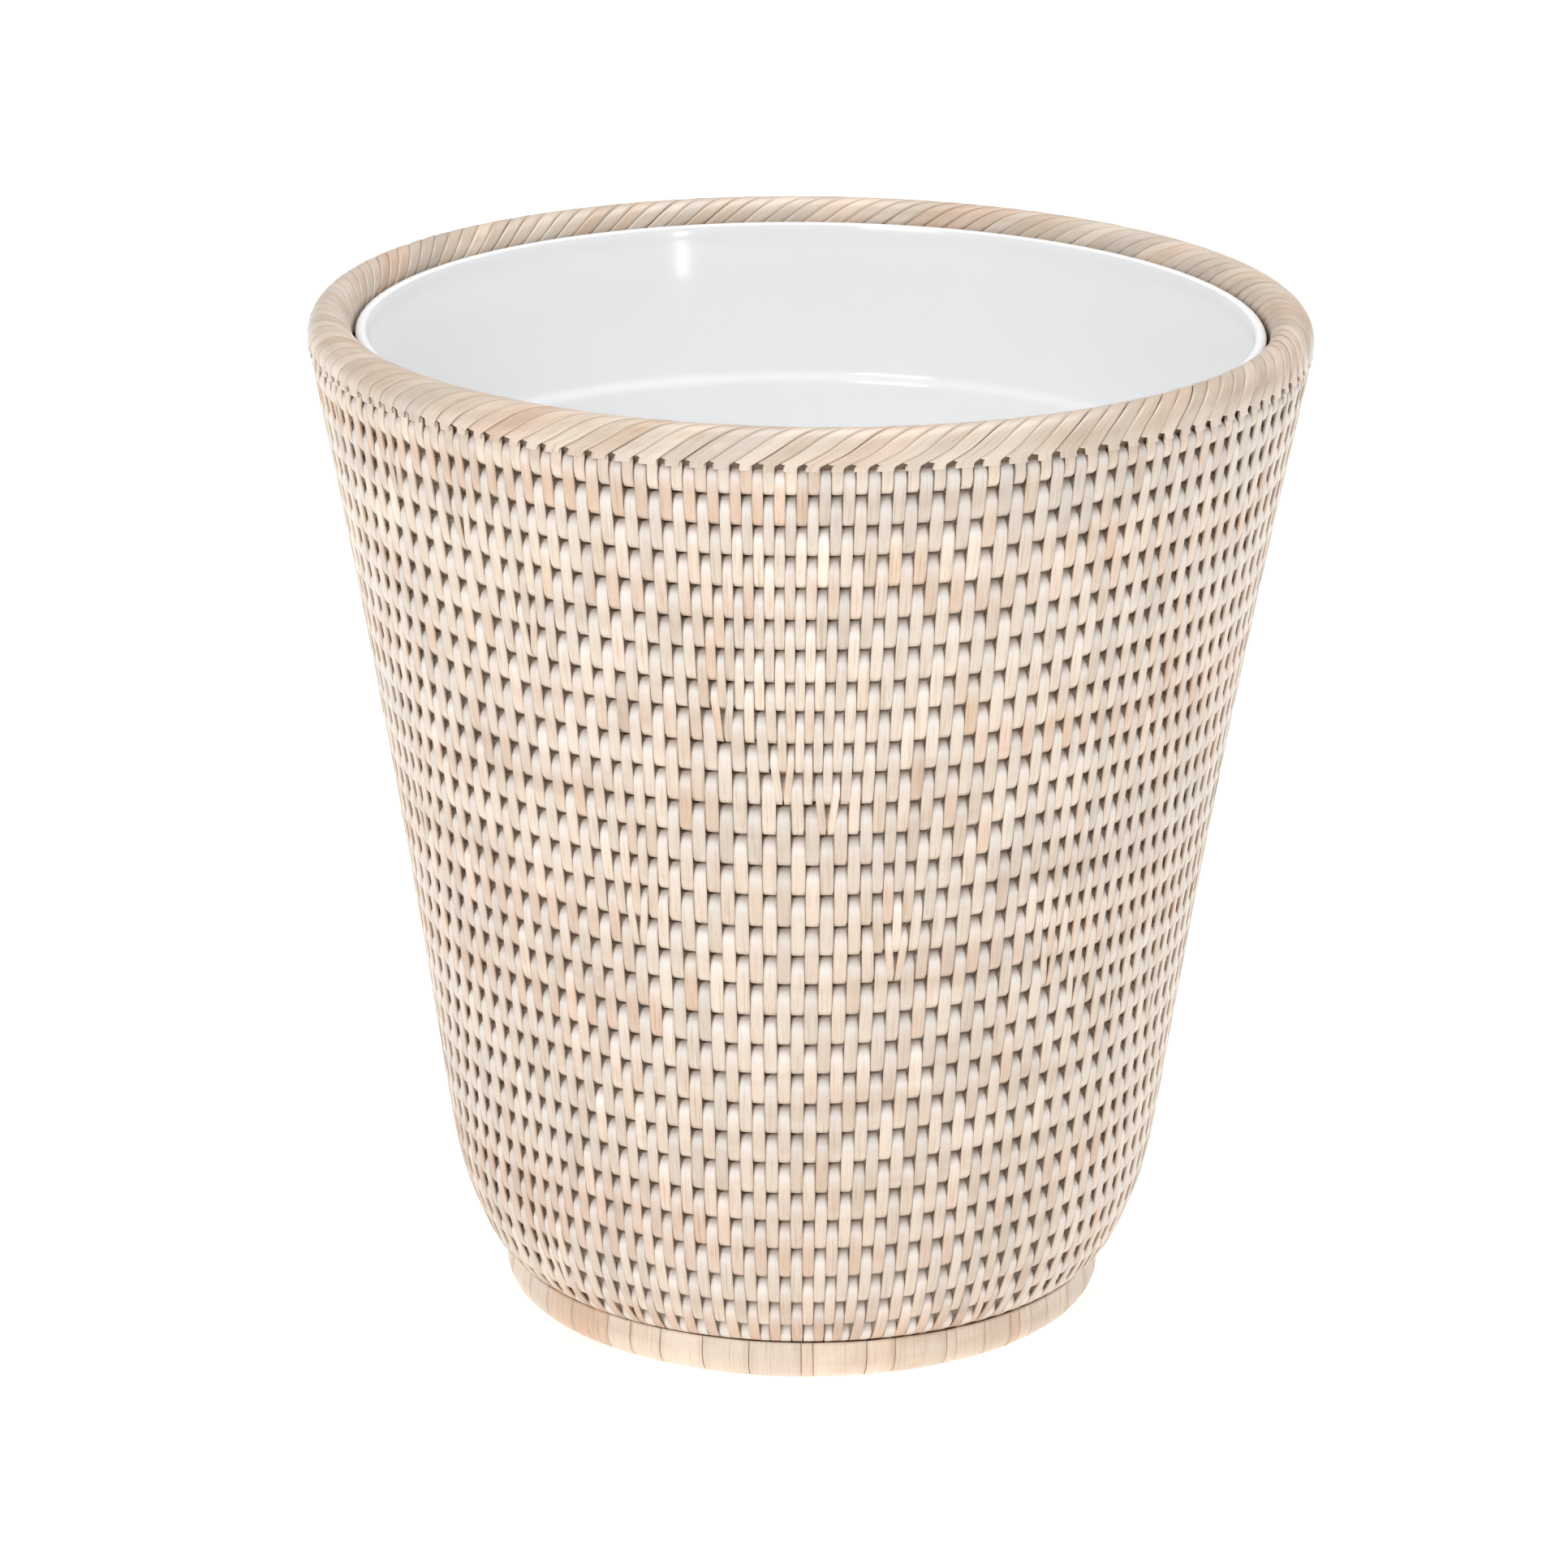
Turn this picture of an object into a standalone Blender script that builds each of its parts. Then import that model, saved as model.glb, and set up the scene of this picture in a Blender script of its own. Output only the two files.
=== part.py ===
"""Round coil-woven rattan wastebasket with a lift-out plastic liner.

Units are metres, +Z is up, and the origin is on the floor under the basket's centre.

The basket is one spiral of rattan rod, which starts at the middle of the base, turns up at the
corner and climbs the flaring wall to the rim. Flat strips stitch the rows together: they are
modelled as one thin skin on each side of the rod. A wrapped hoop finishes the rim, and another
one under the base is the foot. The liner stands on the base and lifts straight up.
"""

import bmesh
import bpy
from math import atan, ceil, cos, exp, hypot, pi, radians, sin, tau

# Driving dimensions
HEIGHT = 0.2897  # floor to the top of the rim
RIM_RADIUS = 0.140  # outer radius of the wrapped rim
RIM_WIDTH = 0.0116  # across the rim's wrapping, inside to outside
RIM_DEPTH = 0.0104  # height of the rim's wrapping
BODY_RADIUS = 0.0955  # the wall's flare continued down to the floor
FLARE = 0.1228  # growth of the radius per metre of height, at the floor
FLARE_GROWTH = 0.131  # how fast the flare opens with the height squared, per metre
TUCK = 0.0796  # how far the flare is drawn in at the floor, above which it fades
TUCK_HEIGHT = 0.0091  # height in which the tuck fades to about a third
CORNER_RADIUS = 0.0208  # outer bend between the base and the wall
BASE_UNDERSIDE = 0.0102  # height of the base above the floor
WALL_THICKNESS = 0.009
STRIP_THICKNESS = 0.0009
FOOT_RADIUS = 0.0862  # outer radius of the foot hoop
FOOT_WIDTH = 0.011
WALL_TURNS = 30  # turns of rod from the corner to the rim
WALL_LENGTHS = 10  # spliced lengths of rod in the wall, about two metres each
TOP_END_ANGLE = radians(225)  # where the spiral runs out under the rim, from +X
LINER_RADIUS = 0.1271  # outer radius of the liner's lip
LINER_TOP = 0.2838
LINER_WALL = 0.0015
LINER_FLOOR = 0.0020
LINER_STEP_DROP = 0.045  # the step lies this far below the lip
LINER_GAP = 0.003  # between the liner's wall and the basket's, at the foot of the wall
CLEARANCE = 0.0003  # between neighbouring pieces
SPLICE_GAP = 0.0015  # between the ends of two lengths of rod
SIDES = 24  # flats round every turned piece, in step with the turns of rod
ARC_STEPS = 6  # straight pieces in a quarter bend or a half-round section

# Worked out from them
CORE_RADIUS = WALL_THICKNESS / 2 - STRIP_THICKNESS - CLEARANCE
WALL_TOP = HEIGHT - RIM_DEPTH - CLEARANCE
BASE_TOP = BASE_UNDERSIDE + WALL_THICKNESS
CORNER_HEIGHT = BASE_UNDERSIDE + CORNER_RADIUS


def wall_radius(height):
    """Outer radius of the wall, above the corner."""
    tuck = TUCK * exp(-height / TUCK_HEIGHT)
    return BODY_RADIUS + FLARE * height + FLARE_GROWTH * height**2 - tuck


def wall_lean(height):
    """How far the wall leans out from upright, in radians."""
    tuck_slope = TUCK / TUCK_HEIGHT * exp(-height / TUCK_HEIGHT)
    return atan(FLARE + 2 * FLARE_GROWTH * height + tuck_slope)


def corner_centre():
    """Radius of the corner's centre: the bend meets the wall where their directions agree."""
    lean = wall_lean(CORNER_HEIGHT)
    return wall_radius(CORNER_HEIGHT) - CORNER_RADIUS / cos(lean)


CORNER_CENTRE = corner_centre()


def profile(depth, steps_up):
    """(radius, height) points of the surface that lies `depth` inside the wall's outer face,
    from the flat of the base round the corner to the wall's top. They lie closer where it bends."""
    bend = CORNER_RADIUS - depth
    quarter = pi / 2 - wall_lean(CORNER_HEIGHT)
    points = []
    for step in range(ARC_STEPS + 1):
        turn = quarter * step / ARC_STEPS
        points.append((CORNER_CENTRE + bend * sin(turn), CORNER_HEIGHT - bend * cos(turn)))
    top = WALL_TOP - depth * sin(wall_lean(WALL_TOP))
    for step in range(steps_up + 1):
        height = CORNER_HEIGHT + (top - CORNER_HEIGHT) * (step / steps_up) ** 2
        lean = wall_lean(height)
        points.append((wall_radius(height) - depth * cos(lean), height + depth * sin(lean)))
    return points


# The rod's route: the middle of the wall's thickness, from the base's centre to the rim
FINE_STEPS = 60
ROUTE = [(0.0, BASE_UNDERSIDE + WALL_THICKNESS / 2)] + profile(WALL_THICKNESS / 2, FINE_STEPS)
ROUTE_LENGTHS = [0.0]
for (r0, z0), (r1, z1) in zip(ROUTE, ROUTE[1:]):
    ROUTE_LENGTHS.append(ROUTE_LENGTHS[-1] + hypot(r1 - r0, z1 - z0))
ROUTE_END = ROUTE_LENGTHS[-1] - CORE_RADIUS - CLEARANCE
PITCH = (ROUTE_END - CORNER_CENTRE) / WALL_TURNS


def on_route(distance):
    """(radius, height) at this distance along the route."""
    for start, end, first, second in zip(ROUTE_LENGTHS, ROUTE_LENGTHS[1:], ROUTE, ROUTE[1:]):
        if distance <= end:
            share = (distance - start) / (end - start)
            return tuple(a + (b - a) * share for a, b in zip(first, second))
    return ROUTE[-1]


def coil_points():
    """Points of the whole spiral, SIDES to a turn, each on a corner of the turned pieces."""
    last = round(TOP_END_ANGLE / tau * SIDES)
    turns = (ROUTE_END - PITCH / 2) / PITCH
    count = ceil(turns * SIDES)
    points = []
    for index in range(count + 1):
        distance = ROUTE_END - PITCH * index / SIDES
        radius, height = on_route(distance)
        angle = tau * (last - index) / SIDES
        points.append((radius * cos(angle), radius * sin(angle), height))
    return points[::-1]


def clear_scene():
    for old in list(bpy.data.objects):
        bpy.data.objects.remove(old, do_unlink=True)


def material(name, colour, roughness):
    """A non-metallic Principled material."""
    made = bpy.data.materials.new(name)
    made.use_nodes = True
    shader = made.node_tree.nodes["Principled BSDF"]
    shader.inputs["Base Color"].default_value = (*colour, 1.0)
    shader.inputs["Roughness"].default_value = roughness
    shader.inputs["Metallic"].default_value = 0.0
    made.diffuse_color = (*colour, 1.0)
    return made


def add(name, data, look):
    piece = bpy.data.objects.new(name, data)
    bpy.context.scene.collection.objects.link(piece)
    data.materials.append(look)
    return piece


def turned(name, outline, look):
    """A solid of revolution. An outline that starts and ends on the axis is closed by its poles."""
    mesh = bpy.data.meshes.new(name)
    shape = bmesh.new()
    corners = [shape.verts.new((radius, 0.0, height)) for radius, height in outline]
    edges = [shape.edges.new(pair) for pair in zip(corners, corners[1:])]
    if outline[0][0] > 0.0:
        edges.append(shape.edges.new((corners[-1], corners[0])))
    bmesh.ops.spin(
        shape, geom=corners + edges, cent=(0, 0, 0), axis=(0, 0, 1), angle=tau, steps=SIDES,
        use_merge=True,
    )
    bmesh.ops.remove_doubles(shape, verts=shape.verts, dist=1e-6)
    bmesh.ops.recalc_face_normals(shape, faces=shape.faces)
    shape.to_mesh(mesh)
    shape.free()
    mesh.shade_smooth()
    mesh.set_sharp_from_angle(angle=radians(40))
    return add(name, mesh, look)


def rod(name, points, look):
    """A length of rattan rod through the points, with a clean cut at each end."""
    curve = bpy.data.curves.new(name, "CURVE")
    curve.dimensions = "3D"
    curve.twist_mode = "Z_UP"
    curve.bevel_depth = CORE_RADIUS
    curve.bevel_resolution = 1
    curve.use_fill_caps = True
    spline = curve.splines.new("POLY")
    spline.points.add(len(points) - 1)
    for place, point in zip(spline.points, points):
        place.co = (*point, 1.0)
    return add(name, curve, look)


def between(first, second, distance):
    """The point at this distance from the first point, on the way to the second."""
    length = sum((b - a) ** 2 for a, b in zip(first, second)) ** 0.5
    return tuple(a + (b - a) * distance / length for a, b in zip(first, second))


def trimmed(points):
    """The same run of points with half a splice gap cut off each end."""
    start = between(points[0], points[1], SPLICE_GAP / 2)
    end = between(points[-1], points[-2], SPLICE_GAP / 2)
    return [start] + points[1:-1] + [end]


def coil_lengths():
    """The spiral cut into the base's length and WALL_LENGTHS equal lengths up the wall."""
    points = coil_points()
    reach = [hypot(x, y) for x, y, _ in points]
    corner = next(index for index, radius in enumerate(reach) if radius >= CORNER_CENTRE)
    run = [0.0]
    for first, second in zip(points[corner:], points[corner + 1:]):
        run.append(run[-1] + sum((b - a) ** 2 for a, b in zip(first, second)) ** 0.5)
    cuts = [corner]
    for part in range(1, WALL_LENGTHS):
        target = run[-1] * part / WALL_LENGTHS
        cuts.append(corner + next(index for index, length in enumerate(run) if length >= target))
    cuts.append(len(points) - 1)
    lengths = [points[: corner + 1]]
    lengths += [points[start : end + 1] for start, end in zip(cuts, cuts[1:])]
    return [trimmed(length) for length in lengths]


def half_round(centre, level, half_width, depth, steps):
    """Points of half an ellipse on its side: from the outer side, over `depth`, to the inner one."""
    points = []
    for step in range(steps + 1):
        turn = pi * step / steps
        points.append((centre + half_width * cos(turn), level + depth * sin(turn)))
    return points


def channel(centre, outer_end, inner_end, level, half_width, depth, steps):
    """Outline of a U-shaped binding: straight sides that end at these two heights, on the outer
    and the inner side, and are joined by a half round that starts from `level`."""
    inner_half = half_width - STRIP_THICKNESS
    inner_depth = depth - STRIP_THICKNESS if depth > 0 else depth + STRIP_THICKNESS
    outside = half_round(centre, level, half_width, depth, steps)
    inside = half_round(centre, level, inner_half, inner_depth, steps)
    outline = [(centre + half_width, outer_end)] + outside + [(centre - half_width, inner_end)]
    outline += [(centre - inner_half, inner_end)] + inside[::-1] + [(centre + inner_half, outer_end)]
    return outline


def hoop(centre, level, half_width, half_height, steps):
    """Outline of a hoop's oval section."""
    points = []
    for step in range(steps):
        turn = tau * step / steps
        points.append((centre + half_width * cos(turn), level + half_height * sin(turn)))
    return points


def make_weave(look):
    """The stitching: a thin skin on each side of the rods, round the wall and across the base."""
    wall_steps = 9
    inside_strip = WALL_THICKNESS - STRIP_THICKNESS
    outer = profile(0.0, wall_steps) + profile(STRIP_THICKNESS, wall_steps)[::-1]
    inner = profile(inside_strip, wall_steps) + profile(WALL_THICKNESS, wall_steps)[::-1]
    turned("wall_weave_outer", outer, look)
    turned("wall_weave_inner", inner, look)
    edge = CORNER_CENTRE - CLEARANCE
    for name, bottom in (("base_weave_bottom", BASE_UNDERSIDE),
                         ("base_weave_top", BASE_TOP - STRIP_THICKNESS)):
        top = bottom + STRIP_THICKNESS
        turned(name, [(0.0, bottom), (edge, bottom), (edge, top), (0.0, top)], look)


def make_rim(binding, core):
    """A fine-strand binding over a rattan hoop, on top of the wall's last row."""
    bottom = HEIGHT - RIM_DEPTH
    half_width = RIM_WIDTH / 2
    middle = RIM_RADIUS - half_width
    depth = RIM_DEPTH * 0.67
    level = HEIGHT - depth
    turned("rim_wrap", channel(middle, bottom, bottom, level, half_width, depth, ARC_STEPS), binding)
    room = STRIP_THICKNESS + CLEARANCE
    core_half_width = half_width - 2 * room
    core_half_height = (RIM_DEPTH - room) / 2 - CLEARANCE
    core_level = bottom + CLEARANCE + core_half_height
    turned("rim_core", hoop(middle, core_level, core_half_width, core_half_height, 8), core)


def underside(radius):
    """Height of the outer face of the weave over the foot, where it bends up from the base."""
    return CORNER_HEIGHT - (CORNER_RADIUS**2 - (radius - CORNER_CENTRE) ** 2) ** 0.5


def make_foot(binding, core):
    """The hoop that the basket stands on. Its strips run up to the weave, which is lower over the
    hoop's inner side than over its outer one. They are flat where they meet the floor."""
    steps = ARC_STEPS - 1
    half_width = FOOT_WIDTH / 2
    middle = FOOT_RADIUS - half_width
    outer_end = underside(FOOT_RADIUS - STRIP_THICKNESS) - CLEARANCE
    inner_end = underside(middle - half_width) - CLEARANCE
    level = inner_end / 2
    depth = level / sin(pi * (steps // 2) / steps)
    binding_outline = channel(middle, outer_end, inner_end, level, half_width, -depth, steps)
    turned("foot_wrap", binding_outline, binding)
    room = STRIP_THICKNESS + CLEARANCE
    core_half_width = half_width - 2 * room
    core_half_height = (inner_end - room) / 2 - CLEARANCE
    core_level = inner_end - core_half_height
    turned("foot_core", hoop(middle, core_level, core_half_width, core_half_height, 8), core)


def liner_radius(height):
    """Outer radius of the liner's wall, which tapers evenly and steps in below its lip."""
    floor = BASE_TOP + CLEARANCE
    foot_radius = wall_radius(CORNER_HEIGHT) - WALL_THICKNESS - LINER_GAP
    lip_radius = LINER_RADIUS - 0.0008
    share = (height - floor) / (LINER_TOP - floor)
    step_in = 0.0010 if height < LINER_TOP - LINER_STEP_DROP else 0.0
    return foot_radius + (lip_radius - foot_radius) * share - step_in


def make_liner(look):
    """A thin moulded tub: flat floor, round corner, tapered wall with one step, rolled lip."""
    floor = BASE_TOP + CLEARANCE
    bend = 0.012
    step_level = LINER_TOP - LINER_STEP_DROP
    step_run = 0.0015
    lip_depth = 0.003
    centre = liner_radius(floor + bend) - bend
    bend_steps = ARC_STEPS // 2
    outside = [(0.0, floor)]
    inside = [(0.0, floor + LINER_FLOOR)]
    for step in range(bend_steps + 1):
        turn = pi / 2 * step / bend_steps
        inner_bend = bend - LINER_WALL
        rise = bend - inner_bend * cos(turn) + (LINER_FLOOR - LINER_WALL) * cos(turn)
        outside.append((centre + bend * sin(turn), floor + bend - bend * cos(turn)))
        inside.append((centre + inner_bend * sin(turn), floor + rise))
    for height in (step_level - step_run, step_level + step_run, LINER_TOP - lip_depth):
        radius = liner_radius(height)
        outside.append((radius, height))
        inside.append((radius - LINER_WALL, height))
    lip_bottom, lip_top = LINER_TOP - 0.8 * lip_depth, LINER_TOP - 0.3 * lip_depth
    outside += [(LINER_RADIUS, lip_bottom), (LINER_RADIUS, lip_top)]
    outside.append((LINER_RADIUS - 0.0008, LINER_TOP))
    inside.append((LINER_RADIUS - 0.0008 - LINER_WALL, LINER_TOP))
    return turned("liner", outside + inside[::-1], look)


def main():
    clear_scene()
    strips = material("rattan_strips", (0.74, 0.62, 0.50), 0.55)
    cane = material("rattan_core", (0.56, 0.41, 0.27), 0.70)
    binding = material("rattan_binding", (0.78, 0.66, 0.54), 0.50)
    plastic = material("liner_plastic", (0.86, 0.86, 0.87), 0.18)
    base_length, *wall_lengths = coil_lengths()
    rod("base_core", base_length, cane)
    for number, points in enumerate(wall_lengths, start=1):
        rod(f"wall_core_{number:02d}", points, cane)
    make_weave(strips)
    make_rim(binding, cane)
    make_foot(binding, cane)
    liner = make_liner(plastic)
    basket = bpy.data.objects.new("basket", None)
    bpy.context.scene.collection.objects.link(basket)
    for piece in list(bpy.data.objects):
        if piece not in (basket, liner):
            piece.parent = basket


main()
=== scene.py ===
"""Looks of a round coil-woven rattan wastebasket with a glossy plastic liner.

One rattan rod spirals from the middle of the base up to the rim. Flat strips loop round each
turn of rod and the turn below it, a half spacing further on at each crossing, so that the loops
of neighbouring rows stand in alternate columns. A wrapped hoop finishes the rim and another is
the foot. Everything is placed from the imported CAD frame. Units are metres.
"""

from math import atan2, cos, hypot, pi, radians, sin, tau

import bpy
import numpy as np
from mathutils import Matrix, Vector


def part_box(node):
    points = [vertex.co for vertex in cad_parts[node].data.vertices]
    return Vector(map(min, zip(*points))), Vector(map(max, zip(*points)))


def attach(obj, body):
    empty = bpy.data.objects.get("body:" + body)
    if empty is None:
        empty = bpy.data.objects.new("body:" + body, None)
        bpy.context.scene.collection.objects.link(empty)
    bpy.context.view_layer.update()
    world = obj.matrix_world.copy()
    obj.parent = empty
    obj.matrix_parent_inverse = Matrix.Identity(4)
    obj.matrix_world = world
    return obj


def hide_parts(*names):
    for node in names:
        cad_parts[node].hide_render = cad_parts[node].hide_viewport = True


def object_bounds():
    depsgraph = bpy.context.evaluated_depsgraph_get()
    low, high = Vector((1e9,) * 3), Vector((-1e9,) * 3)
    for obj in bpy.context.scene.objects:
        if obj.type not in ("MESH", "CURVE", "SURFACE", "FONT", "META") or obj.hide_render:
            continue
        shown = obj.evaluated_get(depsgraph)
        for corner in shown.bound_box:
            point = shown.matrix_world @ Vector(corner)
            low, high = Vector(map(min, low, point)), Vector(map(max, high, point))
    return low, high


# Weave
STRIP_THICKNESS = 0.0008
STRIP_WIDTH_MAX = 0.0038
ROW_GAP = 0.0004  # between the strips of two stacked loops, where they are closest
END_AZIMUTH = radians(225)  # where the last full row meets the rim
TURNS_TO_RIM = 38 + END_AZIMUTH / tau
WALL_ROWS = 27  # rows above the bend
WALL_ROW_HEIGHT = 0.0092
CENTRE_HOLE = 0.0020
FIRST_TURN = 0.35 * tau
TAPER_TURN = 0.87 * tau  # how far the rod goes on, ever thinner, under the rim
WOBBLE = 0.00030  # unevenness of the rows
WOBBLE_SPACING = 1.7  # coil angle from one unevenness to the next
BEND_SHAPE = 0.84  # below 1, the strips bend round the rows more squarely than an oval
# Wanted spacing of the strips in a row, at each height
COLUMN_TARGETS = ((0.0, 0.0056), (0.03, 0.0057), (0.05, 0.0061), (0.14, 0.0065), (0.28, 0.0064))
STITCHES_PER_PIECE = 140
HEEL_SAG = 0.0014  # how much lower the lowest rows settle on the foot than the plain bend
HEEL_SPREAD = 0.0060
STRAND_LOOPS = (22, 48)  # loops made with one strand: at least the first, fewer than the second
LOOP_ROLL = radians(1.8)  # how unevenly the strips lie
# Seeds
SEED_ROWS = 11
SEED_STITCHES = 23
SEED_STRANDS = 37
SEED_RIM = 41
SEED_FOOT = 53

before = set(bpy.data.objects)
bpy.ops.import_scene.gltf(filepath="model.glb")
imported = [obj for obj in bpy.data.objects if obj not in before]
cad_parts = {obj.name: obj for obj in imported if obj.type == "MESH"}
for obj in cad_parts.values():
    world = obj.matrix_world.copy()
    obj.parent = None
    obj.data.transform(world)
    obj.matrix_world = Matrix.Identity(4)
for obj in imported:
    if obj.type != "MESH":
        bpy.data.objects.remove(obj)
cad_low, cad_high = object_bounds()


def smooth(x):
    x = np.clip(x, 0.0, 1.0)
    return x * x * (3.0 - 2.0 * x)


# ---------------------------------------------------------------- shape of the wall

def section_points(node):
    """Different (radius, height) pairs among a turned CAD node's vertices."""
    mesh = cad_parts[node].data
    flat = np.empty(len(mesh.vertices) * 3)
    mesh.vertices.foreach_get("co", flat)
    points = flat.reshape(-1, 3)
    pairs = np.column_stack([np.hypot(points[:, 0], points[:, 1]), points[:, 2]])
    kept = []
    for pair in pairs[np.lexsort((pairs[:, 0], pairs[:, 1]))]:
        if all(hypot(*(pair - other)) > 0.0002 for other in kept):
            kept.append(pair)
    return np.array(kept)


def outer_face(node):
    """The outer one of each pair of points across a thin skin, from the bottom up."""
    points = section_points(node)
    found = []
    for point in points:
        away = points - point
        reach = np.hypot(away[:, 0], away[:, 1])
        reach[reach < 1e-6] = 1.0
        partner = away[reach.argmin()]
        if partner[0] - partner[1] < 0.0:
            found.append(point)
    return np.array(found)


def hermite(points, count):
    """A smooth curve through the points, evenly sampled."""
    steps = np.hypot(*np.diff(points, axis=0).T)
    run = np.concatenate([[0.0], np.cumsum(steps)])
    slopes = np.gradient(points, run, axis=0)
    at = np.linspace(0.0, run[-1], count)
    index = np.clip(np.searchsorted(run, at, side="right") - 1, 0, len(run) - 2)
    span = (run[index + 1] - run[index])[:, None]
    t = ((at - run[index])[:, None]) / span
    p0, p1, m0, m1 = points[index], points[index + 1], slopes[index], slopes[index + 1]
    return (
        (2 * t**3 - 3 * t**2 + 1) * p0
        + (t**3 - 2 * t**2 + t) * span * m0
        + (3 * t**2 - 2 * t**3) * p1
        + (t**3 - t**2) * span * m1
    )


BASE_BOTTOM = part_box("base_weave_bottom")[0].z
BASE_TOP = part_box("base_weave_top")[1].z
WALL = BASE_TOP - BASE_BOTTOM
HALF_WALL = WALL / 2

HEEL_RADIUS = section_points("foot_wrap")[:, 0].max()
face = outer_face("wall_weave_outer")
corner = face[0]
flat_run = [(0.0, corner[1]), (corner[0] * 0.5, corner[1]), (corner[0] - 0.003, corner[1])]
face = hermite(np.vstack([flat_run, face]), 3000)
face[:, 1] -= HEEL_SAG * np.exp(-(((face[:, 0] - HEEL_RADIUS) / HEEL_SPREAD) ** 2))
last_step = face[-1] - face[-2]
beyond = face[-1] + last_step * np.arange(1, 121)[:, None]
face = np.vstack([face, beyond])
tangent = np.gradient(face, axis=0)
tangent /= np.hypot(tangent[:, 0], tangent[:, 1])[:, None]
ROUTE_NORMAL = np.column_stack([tangent[:, 1], -tangent[:, 0]])
ROUTE_POINT = face - ROUTE_NORMAL * HALF_WALL
ROUTE_RUN = np.concatenate([[0.0], np.cumsum(np.hypot(*np.diff(ROUTE_POINT, axis=0).T))])
RIM_EDGE_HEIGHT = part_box("rim_wrap")[0].z
RIM_RUN = np.interp(RIM_EDGE_HEIGHT, face[:, 1], ROUTE_RUN)


def route(run, out):
    """(radius, height) at a distance along the middle of the wall and a distance outwards,
    and the outward normal there."""
    point = [np.interp(run, ROUTE_RUN, ROUTE_POINT[:, k]) for k in (0, 1)]
    normal = [np.interp(run, ROUTE_RUN, ROUTE_NORMAL[:, k]) for k in (0, 1)]
    return point[0] + out * normal[0], point[1] + out * normal[1], normal[0], normal[1]


# ---------------------------------------------------------------- rows

LAST_FULL = TURNS_TO_RIM * tau
COIL_END = LAST_FULL + TAPER_TURN
BEND_ANGLE = LAST_FULL - WALL_ROWS * tau
BEND_RUN = RIM_RUN - WALL_ROWS * WALL_ROW_HEIGHT
BASE_ROW_HEIGHT = (BEND_RUN - CENTRE_HOLE) / (BEND_ANGLE / tau)

rng = np.random.default_rng(SEED_ROWS)
knot_at = np.arange(-tau, COIL_END + tau, WOBBLE_SPACING)
knots = rng.normal(0.0, WOBBLE, len(knot_at))
knots[knot_at > LAST_FULL - 1.0] = 0.0
fine_at = np.linspace(knot_at[0], knot_at[-1], 8000)
low = np.searchsorted(knot_at, fine_at, side="right") - 1
low = np.clip(low, 0, len(knot_at) - 2)
wobble = knots[low] + (knots[low + 1] - knots[low]) * smooth((fine_at - knot_at[low]) / WOBBLE_SPACING)


def boundary(angle):
    """Distance along the route of the boundary above the row at this angle of the coil."""
    line = np.interp(
        angle,
        [-tau, BEND_ANGLE, LAST_FULL],
        [CENTRE_HOLE - BASE_ROW_HEIGHT, BEND_RUN, RIM_RUN],
    )
    return np.clip(line + np.interp(angle, fine_at, wobble), 0.0006, RIM_RUN)


def row(angle):
    """Middle and half height of the row at this angle of the coil."""
    top, bottom = boundary(angle), boundary(np.asarray(angle) - tau)
    return (top + bottom) / 2, (top - bottom) / 2


def rod_half_height(angle):
    return np.maximum(row(angle)[1] - STRIP_THICKNESS - ROW_GAP / 2, 0.00012)


ROD_HALF_WIDTH = HALF_WALL - STRIP_THICKNESS
ROD_RADIUS = 0.004  # for the grain's coordinates round the rod


def in_space(radius, height, angle):
    return np.stack([radius * np.cos(angle), radius * np.sin(angle), height], axis=-1)


def make_mesh(name, vertices, faces, attributes=()):
    mesh = bpy.data.meshes.new(name)
    mesh.vertices.add(len(vertices))
    mesh.vertices.foreach_set("co", np.asarray(vertices, np.float32).ravel())
    faces = np.asarray(faces, np.int32)
    mesh.loops.add(faces.size)
    mesh.loops.foreach_set("vertex_index", faces.ravel())
    mesh.polygons.add(len(faces))
    mesh.polygons.foreach_set("loop_start", np.arange(len(faces), dtype=np.int32) * 4)
    mesh.update(calc_edges=True)
    mesh.validate()
    for label, values in attributes:
        if values.ndim == 1:
            store = mesh.attributes.new(label, "FLOAT", "POINT")
            store.data.foreach_set("value", values.astype(np.float32))
        else:
            store = mesh.attributes.new(label, "FLOAT_VECTOR", "POINT")
            store.data.foreach_set("vector", values.astype(np.float32).ravel())
    mesh.shade_smooth()
    piece = bpy.data.objects.new(name, mesh)
    bpy.context.scene.collection.objects.link(piece)
    return piece


def tube_faces(rings, sides):
    """Quads that join each ring of vertices to the next."""
    ring = np.arange(rings - 1)[:, None] * sides
    side = np.arange(sides)[None, :]
    after = (side + 1) % sides
    quads = np.stack([ring + side, ring + after, ring + sides + after, ring + sides + side], axis=-1)
    return quads.reshape(-1, 4)


def strip_faces(rings, sides):
    """Faces of one swept strip with both its ends closed."""
    ends = np.array([[k, k + 1, sides - 2 - k, sides - 1 - k] for k in range(sides // 2 - 1)])
    return np.vstack([tube_faces(rings, sides), ends[:, ::-1], ends + (rings - 1) * sides])


def copies(one, count, size):
    """The faces of `count` pieces with `size` vertices each."""
    return (one[None] + (np.arange(count) * size)[:, None, None]).reshape(-1, 4)


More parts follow.
